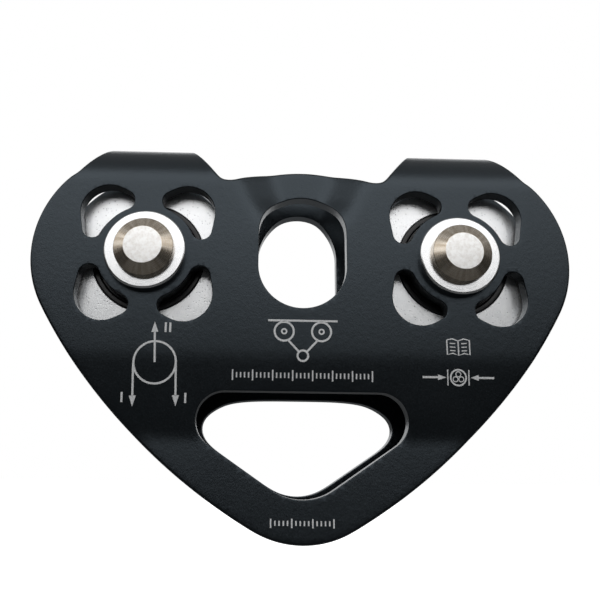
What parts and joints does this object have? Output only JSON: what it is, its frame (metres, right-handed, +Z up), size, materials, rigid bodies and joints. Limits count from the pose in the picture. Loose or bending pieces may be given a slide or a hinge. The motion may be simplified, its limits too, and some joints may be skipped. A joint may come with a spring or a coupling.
{
  "type": "tandem rope pulley",
  "caption": "Tandem pulley for rope or zip-line work: in-line ball-bearing sheaves in a folded black plate body with an upper eye and a lower carabiner eye.",
  "frame": {"origin": "on the centre line of the thickest rope, half-way between the two sheaves", "axes": "+X along the rope, +Y along the axles from the front cheek to the rear cheek, +Z up in use"},
  "size_m": [0.1368, 0.0372, 0.102],
  "materials": {
    "black_anodised": "satin black anodised, fine grain, softened edges",
    "sheave_aluminium": "pale tumbled aluminium with tiny pits, turned groove",
    "bearing_steel": "ground bearing steel",
    "ball_steel": "polished balls",
    "cage_brass": "stamped brass-coloured cage",
    "seal_rubber": "moulded black rubber, slightly glossy rim",
    "turned_steel": "turned stainless steel, speckled flat end",
    "polished_steel": "polished stainless washer",
    "spacer_steel": "ground steel spacer"
  },
  "bodies": {
    "body": {"body_plate": "black_anodised", "left_bearing_inner_ring": "bearing_steel", "right_bearing_inner_ring": "bearing_steel", "left_axle": "turned_steel", "right_axle": "turned_steel", "left_rear_collar": "turned_steel", "right_rear_collar": "turned_steel", "left_front_washer": "polished_steel", "right_front_washer": "polished_steel", "left_rear_washer": "polished_steel", "right_rear_washer": "polished_steel", "left_front_spacer": "spacer_steel", "right_front_spacer": "spacer_steel", "left_rear_spacer": "spacer_steel", "right_rear_spacer": "spacer_steel"},
    "left_wheel": {"left_sheave": "sheave_aluminium", "left_bearing_outer_ring": "bearing_steel", "left_front_seal": "seal_rubber", "left_rear_seal": "seal_rubber"},
    "left_ball_set": {"left_bearing_balls": "ball_steel", "left_ball_cage": "cage_brass"},
    "right_wheel": {"right_sheave": "sheave_aluminium", "right_bearing_outer_ring": "bearing_steel", "right_front_seal": "seal_rubber", "right_rear_seal": "seal_rubber"},
    "right_ball_set": {"right_bearing_balls": "ball_steel", "right_ball_cage": "cage_brass"}
  },
  "joints": [
    {"name": "left_sheave_spin", "type": "hinge", "parent": "body", "child": "left_wheel", "pos_m": [-0.03965, 0, 0.0235], "axis": [0, 1, 0], "continuous": true},
    {"name": "left_ball_set_spin", "type": "hinge", "parent": "body", "child": "left_ball_set", "pos_m": [-0.03965, 0, 0.0235], "axis": [0, 1, 0], "continuous": true},
    {"name": "right_sheave_spin", "type": "hinge", "parent": "body", "child": "right_wheel", "pos_m": [0.03965, 0, 0.0235], "axis": [0, 1, 0], "continuous": true},
    {"name": "right_ball_set_spin", "type": "hinge", "parent": "body", "child": "right_ball_set", "pos_m": [0.03965, 0, 0.0235], "axis": [0, 1, 0], "continuous": true}
  ],
  "couplings": [
    {"joint": "left_ball_set_spin", "follows": "left_sheave_spin", "ratio": 0.619},
    {"joint": "right_ball_set_spin", "follows": "right_sheave_spin", "ratio": 0.619}
  ]
}
